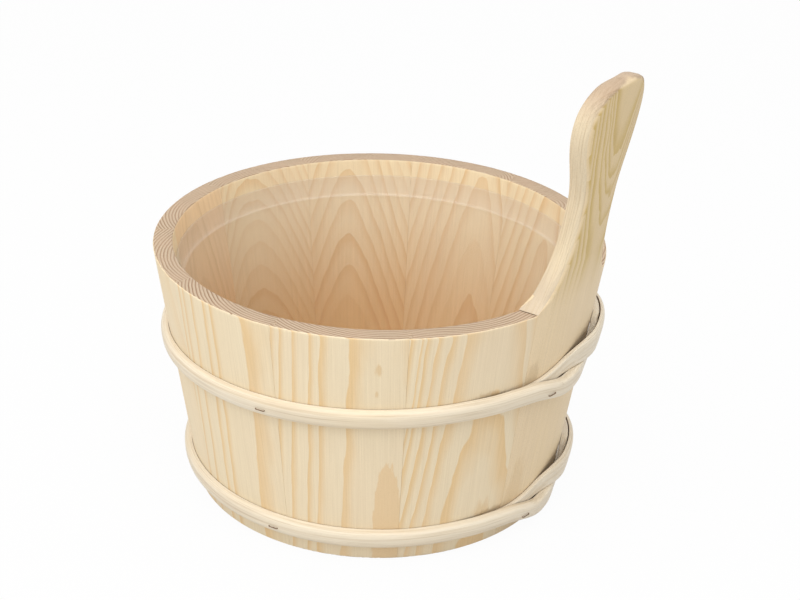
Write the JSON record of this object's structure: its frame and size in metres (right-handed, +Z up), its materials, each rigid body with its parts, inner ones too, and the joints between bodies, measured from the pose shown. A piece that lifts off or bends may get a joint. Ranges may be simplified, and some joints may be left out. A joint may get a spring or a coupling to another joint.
{
  "type": "sauna bucket",
  "caption": "Tapered pine stave bucket with a paddle handle on one stave, two lapped cane hoops stapled on, a boarded bottom and a clear lift-out liner.",
  "frame": {"origin": "on the bucket's axis, at the level of the stave feet", "axes": "+Z up along the bucket's axis; the handle stave stands midway between +X and -Y"},
  "size_m": [0.2515, 0.25, 0.2641],
  "materials": {
    "pine": "plain planed pine, unlacquered",
    "cane": "plain split cane, unlacquered",
    "clear_plastic": "clear, glossy",
    "steel_wire": "dull dark wire"
  },
  "bodies": {
    "bucket": {"handle_stave": "pine", "stave_01": "pine", "stave_02": "pine", "stave_03": "pine", "stave_04": "pine", "stave_05": "pine", "stave_06": "pine", "stave_07": "pine", "stave_08": "pine", "stave_09": "pine", "stave_10": "pine", "bottom_board_1": "pine", "bottom_board_2": "pine", "bottom_board_3": "pine", "upper_hoop": "cane", "lower_hoop": "cane", "upper_staple_1": "steel_wire", "upper_staple_2": "steel_wire", "upper_staple_3": "steel_wire", "upper_staple_4": "steel_wire", "lower_staple_1": "steel_wire", "lower_staple_2": "steel_wire", "lower_staple_3": "steel_wire", "lower_staple_4": "steel_wire"},
    "liner": {"liner": "clear_plastic"}
  },
  "joints": [
    {"name": "liner_lift", "type": "slide", "parent": "bucket", "child": "liner", "axis": [0, 0, 1], "range_m": [0, 0.14]}
  ]
}
